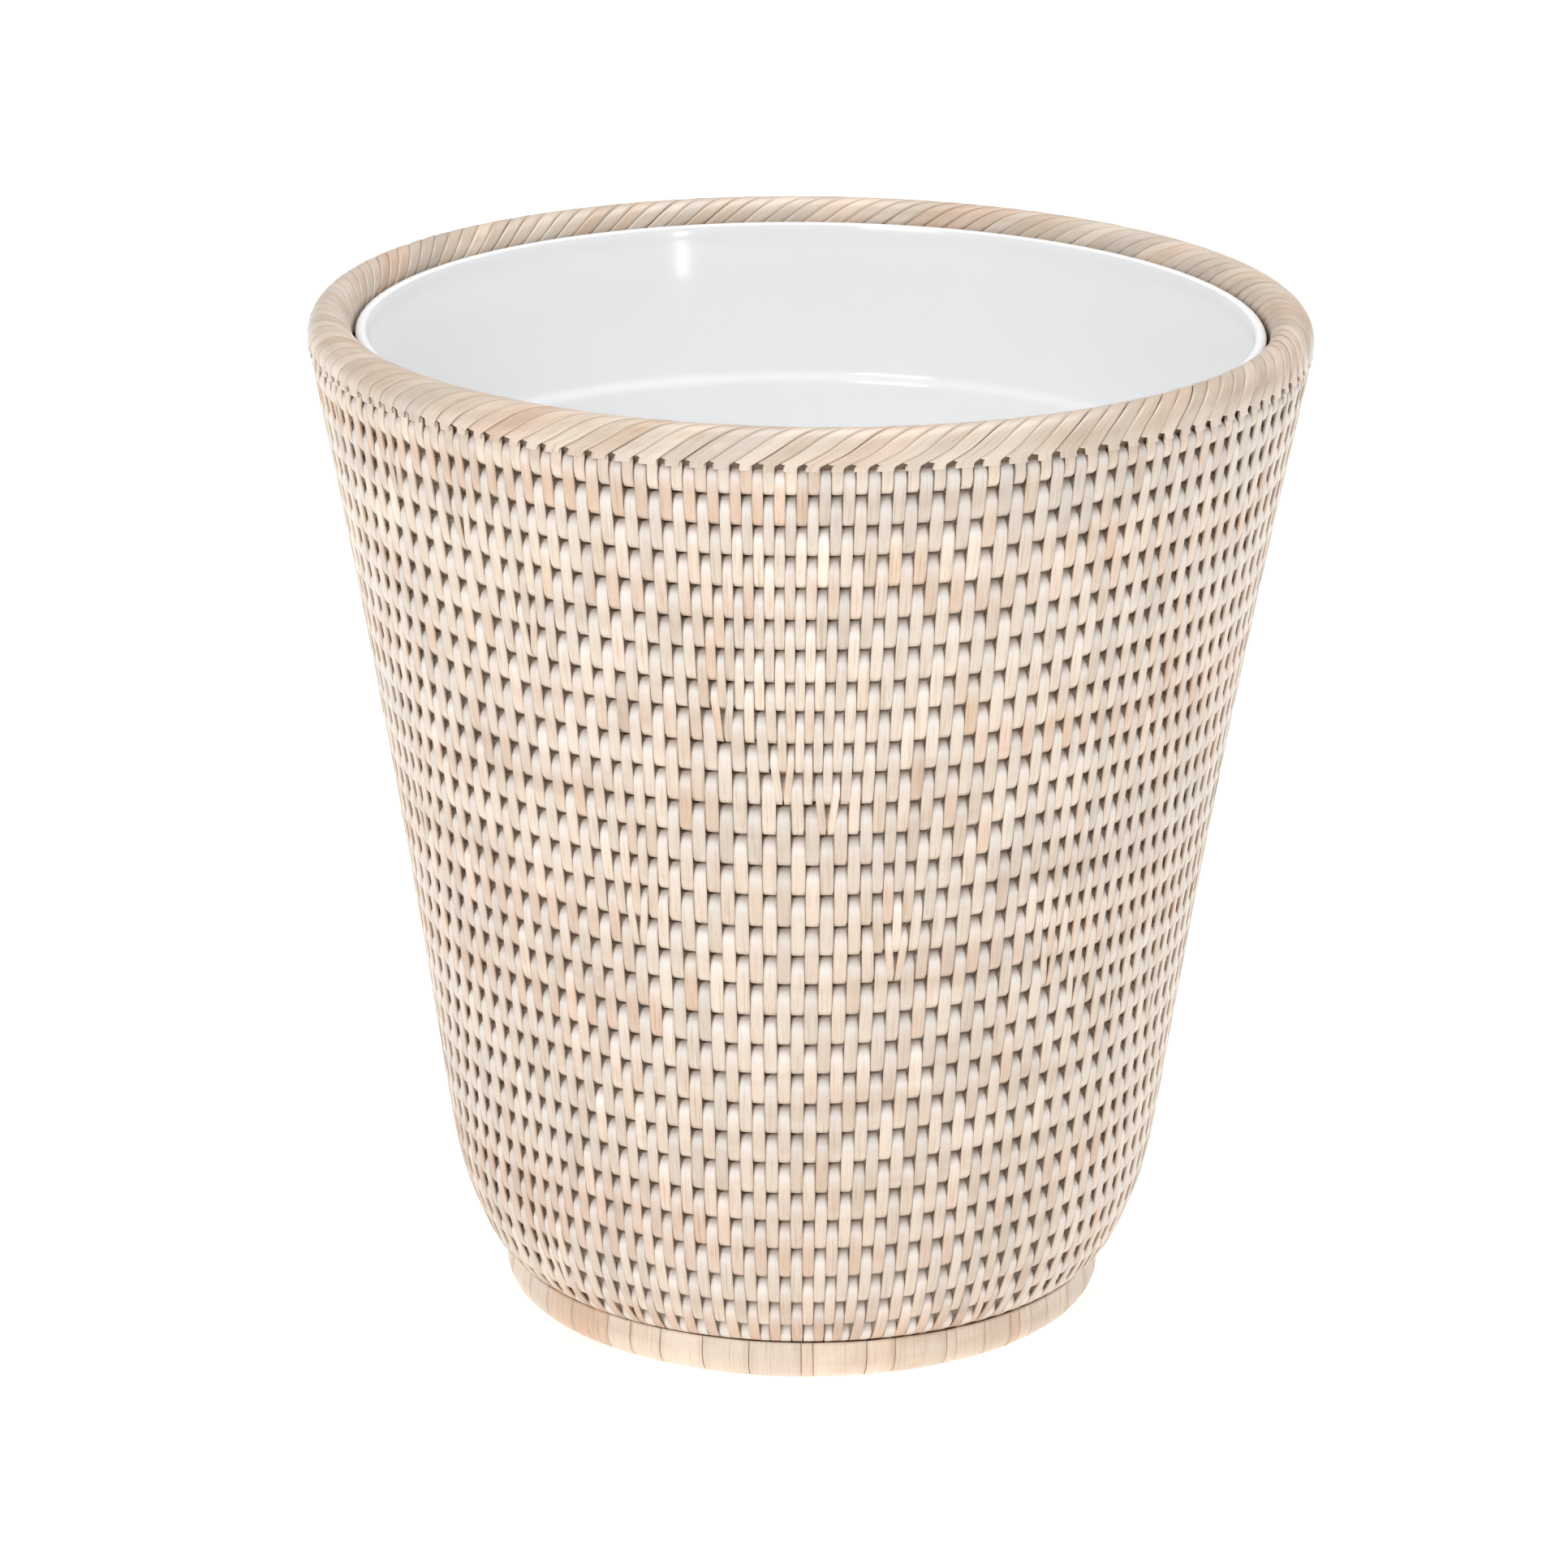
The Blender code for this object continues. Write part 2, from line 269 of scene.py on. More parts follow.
def make_rod():
    """The coiled rod, which thins out at the middle of the base and under the rim."""
    per_turn, sides = 96, 12
    angles = np.arange(FIRST_TURN, COIL_END, tau / per_turn)
    middle, _ = row(angles)
    half_height = rod_half_height(angles) * smooth((COIL_END - angles) / 0.5 + 0.25)
    half_width = np.minimum(ROD_HALF_WIDTH, half_height * 2.5)
    turn = np.arange(sides) / sides * tau
    out = half_width[:, None] * np.cos(turn)
    run = middle[:, None] + half_height[:, None] * np.sin(turn)
    radius, height, _, _ = route(run, out)
    vertices = in_space(radius, height, np.repeat(angles[:, None], sides, axis=1))
    along = np.repeat((middle * angles)[:, None], sides, axis=1)
    fibre = np.stack([
        ROD_RADIUS * np.cos(turn) + 0 * along, along, ROD_RADIUS * np.sin(turn) + 0 * along,
    ], axis=-1)
    return make_mesh("coil_rod", vertices.reshape(-1, 3), tube_faces(len(angles), sides),
                     [("fibre", fibre.reshape(-1, 3))])


# ---------------------------------------------------------------- where the strips climb

def column_target(run):
    height = np.interp(run, ROUTE_RUN, ROUTE_POINT[:, 1])
    levels, widths = zip(*COLUMN_TARGETS)
    return np.interp(height, levels, widths)


def radius_at(run):
    return np.interp(run, ROUTE_RUN, ROUTE_POINT[:, 0])


def plan_stitches():
    """Coil angle of each strip on the outer side, at its lower rod and at its upper rod. A column
    splits in two where the rows have grown long enough to have room for one more."""
    rng = np.random.default_rng(SEED_STITCHES)
    first = 8  # columns at the middle of the base
    start = 0.62 * tau
    lows = list(start + tau * np.arange(first + 1) / first)
    highs = list(lows)
    below = 0
    debt, limit = 0.0, 1.0
    while lows[-1] < COIL_END + 0.2:
        left, right = highs[below], highs[below + 1]
        below += 1
        middle = tau + (left + right) / 2
        run = float(row(middle)[0])
        gap = (right - left) * radius_at(run)
        debt = max(debt + gap / column_target(run) - 1.0, -1.0)
        shares = [0.5]
        if debt > limit and gap > 0.9 * column_target(run):
            shares = [1 / 3, 2 / 3]
            debt -= 1.0
            limit = rng.uniform(0.7, 1.3)
        for share in shares:
            lows.append(tau + left + (right - left) * share)
            ease = (lows[-1] + lows[-3]) / 2 - lows[-2]
            jitter = rng.normal(0.0, 0.00006) / radius_at(run)
            highs[-1] = lows[-2] + 0.5 * ease + jitter
            highs.append(lows[-1])
    return np.array(lows[:-1]), np.array(highs[:-1])


LOWS, HIGHS = plan_stitches()
BUILT = int(np.searchsorted(HIGHS, COIL_END))

# ---------------------------------------------------------------- strips

# Cross-section of a strip: share of its half width, share of its half thickness
STRIP_SECTION = np.array([
    (-1.0, 0.4), (-0.95, 0.90), (-0.60, 1.0), (0.60, 1.0),
    (0.95, 0.90), (1.0, 0.4), (0.94, -1.0), (-0.94, -1.0),
])
SECTION = len(STRIP_SECTION)


def sweep(points, normals, half_widths, half_thickness, roll):
    """Vertices of strips swept along their points, with their width kept level: arrays are
    (strip, point, ...)."""
    across = np.stack([-points[..., 1], points[..., 0], 0 * points[..., 0]], axis=-1)
    across /= np.linalg.norm(across, axis=-1, keepdims=True)
    up = normals / np.linalg.norm(normals, axis=-1, keepdims=True)
    if roll is not None:
        c, s = np.cos(roll)[..., None], np.sin(roll)[..., None]
        across, up = across * c + up * s, up * c - across * s
    side = STRIP_SECTION[:, 0][None, None, :, None] * half_widths[..., None, None]
    lift = STRIP_SECTION[:, 1][None, None, :, None] * half_thickness
    return points[..., None, :] + across[..., None, :] * side + up[..., None, :] * lift


def strip_attributes(points, half_widths, seeds, tones):
    """Fibre coordinates (across, along, seed) and tone for each vertex of swept strips."""
    steps = np.linalg.norm(np.diff(points, axis=1), axis=-1)
    along = np.concatenate([np.zeros((len(points), 1)), np.cumsum(steps, axis=1)], axis=1)
    across = STRIP_SECTION[:, 0][None, None, :] * half_widths[..., None]
    shape = across.shape
    fibre = np.stack([
        across,
        np.broadcast_to(along[..., None], shape),
        np.broadcast_to(seeds[:, None, None], shape),
    ], axis=-1)
    edge = np.broadcast_to(np.abs(STRIP_SECTION[:, 0])[None, None, :], shape)
    tone = np.broadcast_to(tones[..., None], shape)
    return fibre, edge, tone


OUTER_RUN = HALF_WALL - STRIP_THICKNESS / 2
ARC_A = np.radians([270.0, 292.5, 315.0, 337.5])
RUN_SHARES = np.array([0.0, 0.33, 0.67, 1.0])
ARC_C = np.radians([22.5, 45.0, 67.5, 90.0, 112.5, 135.0, 157.5])
ARC_E = np.radians([202.5, 225.0, 247.5])


def crossing(turn):
    """Share of the sideways step done at this angle of a crossing, counted from its start."""
    return smooth((turn - radians(65)) / radians(50))


def power(value, exponent):
    """The value's size to this power, with its sign kept."""
    return np.sign(value) * np.abs(value) ** exponent


def bend(turns, half):
    """Where a strip bends round a row, seen along the row: distances along the wall and outwards
    from the row's middle, and the normal there. It is squarer than an oval."""
    cosine, sine = np.cos(turns), np.sin(turns)
    n_out = power(cosine, 2 - BEND_SHAPE) * half
    n_run = power(sine, 2 - BEND_SHAPE) * OUTER_RUN
    size = np.hypot(n_out, n_run)
    return (half * power(sine, BEND_SHAPE), OUTER_RUN * power(cosine, BEND_SHAPE) + 0 * half,
            n_out / size, n_run / size)


def loops(first, last):
    """Middle lines and outward normals of the loops first..last-1, one row of points each."""
    n = np.arange(first, last)
    low, high = LOWS[n][:, None], HIGHS[n][:, None]
    low_next, high_next = LOWS[n + 1][:, None], HIGHS[n + 1][:, None]
    low_before = LOWS[np.maximum(n - 1, 0)][:, None]
    inner_before = (low_before + low) / 2
    inner_high = (high + high_next) / 2
    inner_low = (low + low_next) / 2

    def lower_rod(angle):
        under = angle - tau
        under = np.where(under < FIRST_TURN, angle, under)
        return row(under)[0], row(under)[1] - STRIP_THICKNESS / 2 - ROW_GAP / 2

    def upper_rod(angle):
        return row(angle)[0], np.maximum(row(angle)[1] - STRIP_THICKNESS / 2 - ROW_GAP / 2, 0.0002)

    run, out, angle, n_out, n_run = [], [], [], [], []

    def arc(where, turns, spot):
        centre, half = spot(where)
        rise, reach, normal_out, normal_run = bend(turns, half)
        run.append(centre + rise)
        out.append(reach)
        angle.append(where + 0 * turns)
        n_out.append(normal_out)
        n_run.append(normal_run)

    def straight(start, end, start_run, end_run, side):
        share = RUN_SHARES[None, :]
        run.append(start_run + (end_run - start_run) * share)
        out.append(side * OUTER_RUN + 0 * run[-1])
        angle.append(start + (end - start) * share)
        n_out.append(side + 0 * run[-1])
        n_run.append(0 * run[-1])

    arc(inner_before + (low - inner_before) * crossing(ARC_A - pi), ARC_A, lower_rod)
    straight(low, high, lower_rod(low)[0], upper_rod(high)[0], 1.0)
    arc(high + (inner_high - high) * crossing(ARC_C), ARC_C, upper_rod)
    straight(inner_high, inner_low, upper_rod(inner_high)[0], lower_rod(inner_low)[0], -1.0)
    arc(inner_low + (low_next - inner_low) * crossing(ARC_E - pi), ARC_E, lower_rod)
    run, out, angle = (np.concatenate(part, axis=1) for part in (run, out, angle))
    n_out, n_run = np.concatenate(n_out, axis=1), np.concatenate(n_run, axis=1)
    radius, height, nr, nz = route(run, out)
    points = in_space(radius, height, angle)
    normal_r = n_out * nr - n_run * nz
    normal_z = n_out * nz + n_run * nr
    normals = np.stack([normal_r * np.cos(angle), normal_r * np.sin(angle), normal_z], axis=-1)
    return points, normals, radius


def stitch_half_widths(first, last, radius, rng):
    """Half width of each loop's strip, from the room in its column."""
    n = np.arange(first, last)
    before = np.maximum(n - 1, 0)
    room_high = (HIGHS[n + 1] - HIGHS[before]) / 4
    room_low = (LOWS[n + 1] - LOWS[before]) / 4
    room = np.minimum(room_high, room_low)[:, None] * radius
    usual = np.minimum(room.max(axis=1), STRIP_WIDTH_MAX)
    width = usual * rng.uniform(0.985, 1.01, last - first)
    return np.minimum(width[:, None], room) / 2


# How much painted highlight each point along a loop gets on its upper bend, which faces the light; partly
# wash left there
CROWN_HIGHLIGHT_AND_WASH = np.concatenate([
    np.zeros(len(ARC_A)), [0.0, 0.0, 0.05, 0.45], [1.0, 1.0, 0.75, 0.3, 0.0, 0.0, 0.0],
    np.zeros(len(RUN_SHARES) + len(ARC_E)),
])


def make_weave():
    """All the loops, in strands of a few dozen, split into pieces."""
    rng = np.random.default_rng(SEED_STRANDS)
    points, normals, radius = loops(1, BUILT)
    count = len(points)
    half_widths = stitch_half_widths(1, BUILT, radius, rng)
    path = points.shape[1]
    roll = np.zeros((count, path))
    outer = slice(len(ARC_A), len(ARC_A) + len(RUN_SHARES))
    inner = slice(outer.stop + len(ARC_C), outer.stop + len(ARC_C) + len(RUN_SHARES))
    roll_outer, roll_inner = rng.normal(0, LOOP_ROLL, (2, count, 1))
    roll[:, outer] = roll_outer
    roll[:, inner] = roll_inner
    blend = smooth(np.linspace(0, 1, len(ARC_C) + 2)[1:-1])
    roll[:, outer.stop : inner.start] = roll_outer + (roll_inner - roll_outer) * blend
    tone = rng.normal(0, 1, count)
    strand = np.zeros(count, int)
    at = number = 0
    while at < count:
        length = int(rng.integers(*STRAND_LOOPS))
        strand[at : at + length] = number
        at += length
        number += 1
    strand_seed = rng.uniform(0, 1, number)
    strand_tint = rng.normal(0, 1, number) + 1.5 * (rng.uniform(size=number) < 0.12)
    pieces = []
    starts = list(range(0, count, STITCHES_PER_PIECE))
    if count - starts[-1] < STITCHES_PER_PIECE / 2:
        starts.pop()
    starts.append(count)
    for number, (start, end) in enumerate(zip(starts, starts[1:]), start=1):
        # each strand's part in this piece is one long strip
        vertices, faces, fibres, edges, tones, tints, crown_highlight_and_wash_values = [], [], [], [], [], [], []
        offset = 0
        for which in np.unique(strand[start:end]):
            members = np.flatnonzero(strand[start:end] == which) + start
            line = points[members].reshape(1, -1, 3)
            up = normals[members].reshape(1, -1, 3)
            half = half_widths[members].reshape(1, -1)
            turn = roll[members].reshape(1, -1)
            grid = sweep(line, up, half, STRIP_THICKNESS / 2, turn)
            per_point = np.repeat(tone[members], path)[None, :]
            fibre, edge, shade = strip_attributes(line, half, strand_seed[which : which + 1] * 7.0, per_point)
            rings = line.shape[1]
            vertices.append(grid.reshape(-1, 3))
            faces.append(strip_faces(rings, SECTION) + offset)
            offset += rings * SECTION
            fibres.append(fibre.reshape(-1, 3))
            edges.append(edge.reshape(-1))
            tones.append(shade.reshape(-1))
            tints.append(np.full(rings * SECTION, strand_tint[which]))
            # each point's share of the painted highlight on the upper bend, partly wash
            crown_highlight_and_wash_values.append(np.repeat(np.tile(CROWN_HIGHLIGHT_AND_WASH, len(members)), SECTION))
        piece = make_mesh(
            f"weave_{number:02d}", np.vstack(vertices), np.vstack(faces),
            [("fibre", np.vstack(fibres)), ("edge", np.concatenate(edges)),
             ("tone", np.concatenate(tones)), ("tint", np.concatenate(tints)),
             ("crown_highlight_and_wash", np.concatenate(crown_highlight_and_wash_values))],
        )
        heights = points[start:end, :, 2]
        nodes = []
        if heights.min() < BASE_TOP + 0.001 and radius[start:end].min() < corner[0]:
            nodes += ["base_weave_bottom", "base_weave_top"]
        if radius[start:end].max() > corner[0]:
            nodes += ["wall_weave_outer", "wall_weave_inner"]
        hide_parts(*nodes)
        pieces.append(piece)
    return pieces


# ---------------------------------------------------------------- rim

RIM_LOW, RIM_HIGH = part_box("rim_wrap")
RIM_OUTER = section_points("rim_wrap")[:, 0].max()
RIM_INNER = section_points("rim_wrap")[:, 0].min()
RIM_CENTRE = (RIM_OUTER + RIM_INNER) / 2
RIM_HALF_WIDTH = (RIM_OUTER - RIM_INNER) / 2
RIM_HALF_HEIGHT = 0.0069
RIM_LEVEL = RIM_HIGH.z - RIM_HALF_HEIGHT
RIM_PROUD = 0.0003  # how far the rim's strips stand out over the wall's
RIM_SWING = 5.5  # strip spacings that a strip moves sideways on its way over the rim
RIM_LEAD = 0.72  # strip spacings from an upright to the middle of its strip's lower edge
RIM_TONE = -0.6
RIM_SETTLE = 0.006  # up the rim's outer side, where its strips have become evenly spaced
NOTCH_WIDTH = 0.0028
NOTCH_HEIGHT = 0.0019
JOINT_WIDTHS = (0.00002, 0.00010, 0.00028)  # between the rim's strips: tight, half open, open
JOINT_SHARES = (0.6, 0.25, 0.15)

# Cross-section of a wide strip: share of its half width, share of its half thickness
WIDE_SECTION = np.array([
    (-1.0, 0.0), (-0.97, 0.80), (-0.60, 1.0), (-0.20, 1.0), (0.20, 1.0), (0.60, 1.0),
    (0.97, 0.80), (1.0, 0.0), (0.92, -1.0), (0.30, -1.0), (-0.30, -1.0), (-0.92, -1.0),
])


def bands(name, line, left, right, widths, rng, tint_run, paler):
    """Strips bound over a hoop. Each follows the (radius, height) line between two azimuths,
    `left` and `right`, given for every strip and point; `widths` are measured across the strip.
    `tint_run` neighbours share a tint, and `paler` shifts the tone of all of them."""
    normal = outline_normals(line)
    count, rings = left.shape
    share, lift = WIDE_SECTION.T
    angle = (left[..., None] * (1 - share) + right[..., None] * (1 + share)) / 2
    raised = STRIP_THICKNESS / 2 * lift
    radius = line[None, :, 0, None] + normal[None, :, 0, None] * raised + 0 * angle
    height = line[None, :, 1, None] + normal[None, :, 1, None] * raised + 0 * angle
    tilt = rng.normal(0.0, 0.00007, (count, 1, 1)) * share
    radius += normal[None, :, 0, None] * tilt
    height += normal[None, :, 1, None] * tilt
    grid = in_space(radius, np.maximum(height, 0.0), angle)
    middle = grid[:, :, 3]
    steps = np.linalg.norm(np.diff(middle, axis=1), axis=-1)
    along = np.concatenate([np.zeros((count, 1)), np.cumsum(steps, axis=1)], axis=1)
    seeds = rng.uniform(0, 7.0, (count, 1, 1))
    fibre = np.stack([
        share * widths[..., None] / 2, along[..., None] + 0 * angle, seeds + 0 * angle,
    ], axis=-1)
    edge = np.abs(share) + 0 * angle
    tone = paler + rng.normal(0, 1, (count, 1, 1)) + 0 * angle
    tint = np.repeat(rng.normal(0, 1.0, count // tint_run + 1), tint_run)[:count]
    sides = len(WIDE_SECTION)
    return make_mesh(
        name, grid.reshape(-1, 3), copies(strip_faces(rings, sides), count, rings * sides),
        [("fibre", fibre.reshape(-1, 3)), ("edge", edge.reshape(-1)), ("tone", tone.reshape(-1)),
         ("tint", (tint[:, None, None] + 0 * angle).reshape(-1))],
    )


def outline_normals(line):
    """Unit normals of a (radius, height) line, to its right-hand side."""
    along = np.gradient(line, axis=0)
    along /= np.hypot(along[:, 0], along[:, 1])[:, None]
    return np.column_stack([along[:, 1], -along[:, 0]])


RIM_FIRST = int(np.searchsorted(HIGHS, COIL_END - tau))
RIM_COUNT = BUILT - RIM_FIRST
RIM_STEP = tau / RIM_COUNT
RIM_CLIMBS = (HIGHS[RIM_FIRST:BUILT] + HIGHS[RIM_FIRST + 1 : BUILT + 1]) / 2
even = np.arange(RIM_COUNT) * RIM_STEP
RIM_EVEN = even + (RIM_CLIMBS - even).mean()


def make_rim_bands():
    """The rim's strips, which slant over the hoop edge to edge. Each has a small notch beside
    the upright that it comes from."""
    rng = np.random.default_rng(SEED_RIM)
    a = RIM_HALF_WIDTH + RIM_PROUD - STRIP_THICKNESS / 2
    b = RIM_HALF_HEIGHT - STRIP_THICKNESS / 2
    beta = np.linspace(0.0, pi, 25)
    arch = np.column_stack([RIM_CENTRE + a * np.cos(beta), RIM_LEVEL + b * np.sin(beta)])
    skirt = np.linspace(RIM_LOW.z, RIM_LEVEL, 13)[:-1]
    outer = np.column_stack([np.full(12, RIM_CENTRE + a), skirt])
    inner = np.column_stack([np.full(12, RIM_CENTRE - a), skirt[::-1]])
    line = np.vstack([outer, arch, inner])
    run = np.concatenate([[0.0], np.cumsum(np.hypot(*np.diff(line, axis=0).T))])
    swing = RIM_SWING * RIM_STEP
    slanting = np.maximum(run - NOTCH_HEIGHT * 0.7, 0.0) / (run[-1] - NOTCH_HEIGHT * 0.7)
    start = (RIM_CLIMBS - RIM_EVEN)[:, None] * (1 - smooth(run / RIM_SETTLE))
    middle = RIM_EVEN[:, None] + start + RIM_LEAD * RIM_STEP + swing * slanting[None, :]
    slack = rng.choice(JOINT_WIDTHS, RIM_COUNT, p=JOINT_SHARES) / RIM_CENTRE
    wave = rng.normal(0.0, 0.00012, (RIM_COUNT, 5)) / RIM_CENTRE
    knots = np.linspace(0.0, run[-1], 5)
    drift = np.stack([np.interp(run, knots, values) for values in wave])
    left = middle - RIM_STEP / 2 + drift + slack[:, None] / 2
    right = np.roll(left, -1, axis=0) - slack[:, None]
    right[-1] += tau
    notch = NOTCH_WIDTH / RIM_OUTER * rng.uniform(0.7, 1.15, (RIM_COUNT, 1))
    left += notch * (1 - smooth((run - NOTCH_HEIGHT + 0.0003) / 0.0006))
    slant = atan2(run[-1], swing * RIM_CENTRE)
    widths = (right - left) * RIM_CENTRE * sin(slant)
    return bands("rim_binding", line, left, right, widths, rng, 3, RIM_TONE)


def make_uprights(name, side, seed):
    """The part of each of the rim's strips that goes over the wall's last row, on one side."""
    rng = np.random.default_rng(seed)
    azimuth = RIM_CLIMBS[:, None]
    if side < 0:
        azimuth = (RIM_EVEN + (RIM_LEAD + RIM_SWING) * RIM_STEP)[:, None]
        azimuth = np.where(azimuth > COIL_END, azimuth - tau, azimuth)
    centre, half = row(azimuth)
    half = np.maximum(half - STRIP_THICKNESS / 2 - ROW_GAP / 2, 0.0002)
    top = RIM_RUN + 0.0012
    start = np.minimum(centre, RIM_RUN - 0.0020)
    shares = np.array([0.0, 0.3, 0.6, 0.8, 1.0])[None, :]
    climb = start + (top - start) * shares
    tuck = 0.0007 * smooth((climb - RIM_RUN + 0.0030) / 0.0030)
    rise, reach, normal_out, normal_run = bend(ARC_A[None, :], half)
    run = np.concatenate([centre + rise, climb], axis=1)
    out = side * np.concatenate([reach, OUTER_RUN - tuck], axis=1)
    n_out = side * np.concatenate([normal_out, 1 + 0 * climb], axis=1)
    n_run = np.concatenate([normal_run, 0 * climb], axis=1)
    angle = azimuth + 0 * run
    radius, height, nr, nz = route(run, out)
    normal_r, normal_z = n_out * nr - n_run * nz, n_out * nz + n_run * nr
    points = in_space(radius, height, angle)
    normals = np.stack([normal_r * np.cos(angle), normal_r * np.sin(angle), normal_z], axis=-1)
    width = RIM_STEP / 2 * radius_at(RIM_RUN) * rng.uniform(0.95, 1.0, (len(run), 1))
    half_widths = width / 2 + 0 * run
    grid = sweep(points, normals, half_widths, STRIP_THICKNESS / 2, None)
    seeds = rng.uniform(0, 7.0, len(run))
    tones = rng.normal(0, 1, (len(run), 1)) + 0 * run
    fibre, edge, tone = strip_attributes(points, half_widths, seeds, tones)
    tint = np.broadcast_to(rng.normal(0, 0.7, (len(run), 1, 1)), edge.shape)
    rings = run.shape[1]
    return make_mesh(
        name, grid.reshape(-1, 3), copies(strip_faces(rings, SECTION), len(run), rings * SECTION),
        [("fibre", fibre.reshape(-1, 3)), ("edge", edge.reshape(-1)),
         ("tone", tone.reshape(-1)), ("tint", tint.reshape(-1))],
    )


def lathe(name, outline, steps):
    """A smooth solid of revolution from a closed ring of (radius, height) points off the axis."""
    outline = np.asarray(outline)
    angles = np.arange(steps) / steps * tau
    radius = outline[None, :, 0] + 0 * angles[:, None]
    height = outline[None, :, 1] + 0 * angles[:, None]
    vertices = in_space(radius, height, angles[:, None] + 0 * radius).reshape(-1, 3)
    width = len(outline)
    ring = np.arange(steps)[:, None]
    after = (ring + 1) % steps
    side = np.arange(width)[None, :]
    onward = (side + 1) % width
    faces = np.stack([
        ring * width + side, after * width + side, after * width + onward, ring * width + onward,
    ], axis=-1)
    return make_mesh(name, vertices, faces.reshape(-1, 4))


HOOP_INSET = 0.0012  # from the outside of the wrapping in to the hoop
HOOP_STEPS = 128


def oval(centre, level, half_width, half_height):
    turn = np.arange(16) / 16 * tau
    return np.column_stack([centre + half_width * np.cos(turn), level + half_height * np.sin(turn)])


# ---------------------------------------------------------------- foot

FOOT_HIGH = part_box("foot_wrap")[1]
FOOT_OUTER = section_points("foot_wrap")[:, 0].max()
FOOT_INNER = section_points("foot_wrap")[:, 0].min()
FOOT_CENTRE = (FOOT_OUTER + FOOT_INNER) / 2
FOOT_HALF = (FOOT_OUTER - FOOT_INNER) / 2
FOOT_DEPTH = 0.0068  # from the floor up to where the strips stand upright
FOOT_TONE = 3.6
WIDE_SHARE = 0.62  # share of the foot's strips that are wide
WIDE_STRIPS = (0.0075, 0.0165)
NARROW_STRIPS = (0.0030, 0.0055)


def make_foot_wrap():
    """Wide flat strips bound round the foot hoop, edge to edge, that go up into the weave."""
    rng = np.random.default_rng(SEED_FOOT)
    widths = []
    while sum(widths) < tau * FOOT_OUTER:
        sizes = WIDE_STRIPS if rng.uniform() < WIDE_SHARE else NARROW_STRIPS
        widths.append(rng.uniform(*sizes))
    widths = np.array(widths) * (tau * FOOT_OUTER / sum(widths))
    edges = np.concatenate([[0.0], np.cumsum(widths)]) / FOOT_OUTER
    a = FOOT_HALF - STRIP_THICKNESS / 2
    b = FOOT_DEPTH - STRIP_THICKNESS / 2
    beta = np.linspace(pi, tau, 19)
    arc_r = FOOT_CENTRE + a * np.cos(beta)
    arc_z = FOOT_DEPTH + b * np.sin(beta)
    outer_top = FOOT_HIGH.z + 0.0002 - HEEL_SAG
    inner_top = BASE_BOTTOM - 0.0003
    inner = np.linspace(inner_top, FOOT_DEPTH, 4)[:-1]
    outer = np.linspace(FOOT_DEPTH, outer_top, 7)[1:]
    lean_in = 0.0005 * smooth((outer - FOOT_DEPTH) / (outer_top - FOOT_DEPTH))
    line = np.vstack([
        np.column_stack([np.full(3, FOOT_CENTRE - a), inner]),
        np.column_stack([arc_r, arc_z]),
        np.column_stack([FOOT_CENTRE + a - lean_in, outer]),
    ])
    count = len(widths)
    lean = rng.normal(0, 0.00012, (count + 1, 1)) / FOOT_OUTER
    seams = edges[:, None] + lean * (line[None, :, 1] - FOOT_DEPTH) / FOOT_DEPTH
    seams[-1] = seams[0] + tau
    slack = rng.uniform(0.00001, 0.00005, (count, 1)) / FOOT_OUTER
    left, right = seams[:-1] + slack / 2, seams[1:] - slack / 2
    across = (right - left) * FOOT_OUTER
    piece = bands("foot_binding", line, left, right, across, rng, 1, FOOT_TONE)
    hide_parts("foot_wrap")
    return piece


# ---------------------------------------------------------------- liner

